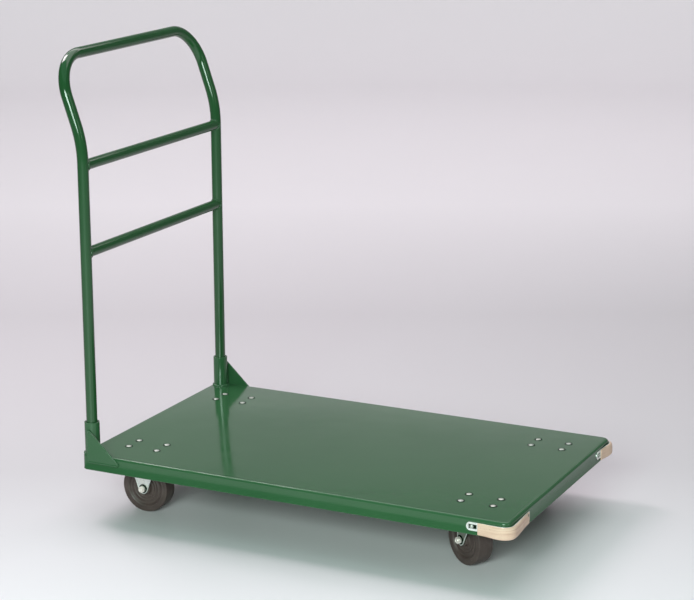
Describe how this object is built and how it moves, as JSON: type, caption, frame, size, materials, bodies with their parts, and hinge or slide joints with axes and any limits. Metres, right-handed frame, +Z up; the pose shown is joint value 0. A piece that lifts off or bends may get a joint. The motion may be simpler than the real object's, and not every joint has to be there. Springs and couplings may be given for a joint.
{
  "type": "platform trolley",
  "caption": "Flat steel platform trolley with a lift-out tubular push handle, padded front corners, fixed casters at the handle end and swivel casters at the other.",
  "frame": {"origin": "centre of the whole trolley's bounding box, on the floor", "axes": "+X is the way it is pushed, away from the handle; +Y is its left side; +Z is up"},
  "size_m": [0.9754, 0.5672, 0.9324],
  "materials": {
    "deck_enamel": "glossy green enamel",
    "handle_enamel": "glossy green enamel",
    "zinc_pressing": "bright zinc plate",
    "zinc_fastener": "bright zinc plate",
    "wheel_rubber": "moulded, satin",
    "bumper_leather": "smooth tan"
  },
  "bodies": {
    "chassis": {"deck_sheet": "deck_enamel", "deck_skirt_right": "deck_enamel", "deck_skirt_front": "deck_enamel", "deck_skirt_left": "deck_enamel", "deck_skirt_rear": "deck_enamel", "deck_stiffener_rear": "deck_enamel", "deck_stiffener_middle": "deck_enamel", "deck_stiffener_front": "deck_enamel", "post_socket_right": "deck_enamel", "post_socket_left": "deck_enamel", "gusset_right": "deck_enamel", "gusset_left": "deck_enamel", "bumper_right_strap": "zinc_pressing", "bumper_right_pad": "bumper_leather", "bumper_right_tab_screw": "zinc_fastener", "bumper_right_end_screw": "zinc_fastener", "bumper_left_strap": "zinc_pressing", "bumper_left_pad": "bumper_leather", "bumper_left_tab_screw": "zinc_fastener", "bumper_left_end_screw": "zinc_fastener", "rear_right_fork": "zinc_pressing", "rear_right_axle_bolt": "zinc_fastener", "rear_right_axle_nut": "zinc_fastener", "rear_left_fork": "zinc_pressing", "rear_left_axle_bolt": "zinc_fastener", "rear_left_axle_nut": "zinc_fastener", "front_right_plate": "zinc_pressing", "front_right_kingpin": "zinc_fastener", "front_left_plate": "zinc_pressing", "front_left_kingpin": "zinc_fastener", "caster_bolt_rear_right_1": "zinc_fastener", "caster_bolt_rear_right_2": "zinc_fastener", "caster_bolt_rear_right_3": "zinc_fastener", "caster_bolt_rear_right_4": "zinc_fastener", "caster_bolt_rear_left_1": "zinc_fastener", "caster_bolt_rear_left_2": "zinc_fastener", "caster_bolt_rear_left_3": "zinc_fastener", "caster_bolt_rear_left_4": "zinc_fastener", "caster_bolt_front_right_1": "zinc_fastener", "caster_bolt_front_right_2": "zinc_fastener", "caster_bolt_front_right_3": "zinc_fastener", "caster_bolt_front_right_4": "zinc_fastener", "caster_bolt_front_left_1": "zinc_fastener", "caster_bolt_front_left_2": "zinc_fastener", "caster_bolt_front_left_3": "zinc_fastener", "caster_bolt_front_left_4": "zinc_fastener"},
    "handle": {"handle_hoop": "handle_enamel", "crossbar_lower": "handle_enamel", "crossbar_upper": "handle_enamel"},
    "rear_right_roller": {"rear_right_wheel": "wheel_rubber"},
    "rear_left_roller": {"rear_left_wheel": "wheel_rubber"},
    "front_right_swivel": {"front_right_fork": "zinc_pressing", "front_right_axle_bolt": "zinc_fastener", "front_right_axle_nut": "zinc_fastener"},
    "front_right_roller": {"front_right_wheel": "wheel_rubber"},
    "front_left_swivel": {"front_left_fork": "zinc_pressing", "front_left_axle_bolt": "zinc_fastener", "front_left_axle_nut": "zinc_fastener"},
    "front_left_roller": {"front_left_wheel": "wheel_rubber"}
  },
  "joints": [
    {"name": "handle_lift", "type": "slide", "parent": "chassis", "child": "handle", "axis": [0, 0, 1], "range_m": [0, 0.09]},
    {"name": "rear_right_roll", "type": "hinge", "parent": "chassis", "child": "rear_right_roller", "pos_m": [-0.34277, -0.1768, 0.0508], "axis": [0, 1, 0], "continuous": true},
    {"name": "rear_left_roll", "type": "hinge", "parent": "chassis", "child": "rear_left_roller", "pos_m": [-0.34277, 0.1768, 0.0508], "axis": [0, 1, 0], "continuous": true},
    {"name": "front_right_turn", "type": "hinge", "parent": "chassis", "child": "front_right_swivel", "pos_m": [0.38453, -0.1803, 0.1], "axis": [0, 0, 1], "continuous": true},
    {"name": "front_right_roll", "type": "hinge", "parent": "front_right_swivel", "child": "front_right_roller", "pos_m": [0.35724, -0.16358, 0.0508], "axis": [0.5225, 0.8526, 0], "continuous": true},
    {"name": "front_left_turn", "type": "hinge", "parent": "chassis", "child": "front_left_swivel", "pos_m": [0.38453, 0.1803, 0.1], "axis": [0, 0, 1], "continuous": true},
    {"name": "front_left_roll", "type": "hinge", "parent": "front_left_swivel", "child": "front_left_roller", "pos_m": [0.35348, 0.17256, 0.0508], "axis": [-0.2419, 0.9703, 0], "continuous": true}
  ]
}
